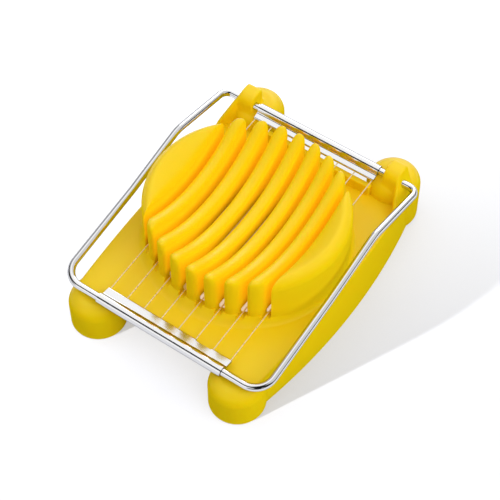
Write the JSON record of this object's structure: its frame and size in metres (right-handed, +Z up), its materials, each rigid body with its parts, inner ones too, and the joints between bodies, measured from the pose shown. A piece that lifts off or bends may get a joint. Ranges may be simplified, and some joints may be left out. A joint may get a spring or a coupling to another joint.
{
  "type": "egg slicer",
  "caption": "Egg slicer: low moulded base on round legs with a slotted egg cradle, and a hinged wire frame that carries parallel cutting wires between crimped strips.",
  "frame": {"origin": "on the standing surface, under the middle of the part's box", "axes": "+Z up, +Y towards the hinge, X across the part, front bar of the frame towards -Y"},
  "size_m": [0.0774, 0.1064, 0.037],
  "materials": {
    "plastic": "smooth moulded, glossy",
    "frame_chrome": "bright plated wire",
    "strip_chrome": "bright plated sheet",
    "wire_steel": "drawn stainless wire"
  },
  "bodies": {
    "base_body": {"base": "plastic"},
    "frame": {"frame_wire": "frame_chrome", "front_strip": "strip_chrome", "rear_strip": "strip_chrome", "cutting_wire_1": "wire_steel", "cutting_wire_2": "wire_steel", "cutting_wire_3": "wire_steel", "cutting_wire_4": "wire_steel", "cutting_wire_5": "wire_steel", "cutting_wire_6": "wire_steel", "cutting_wire_7": "wire_steel", "cutting_wire_8": "wire_steel"}
  },
  "joints": [
    {"name": "frame_hinge", "type": "hinge", "parent": "base_body", "child": "frame", "pos_m": [0, 0.0405, 0.022], "axis": [-1, 0, 0], "range_deg": [0, 105]}
  ]
}
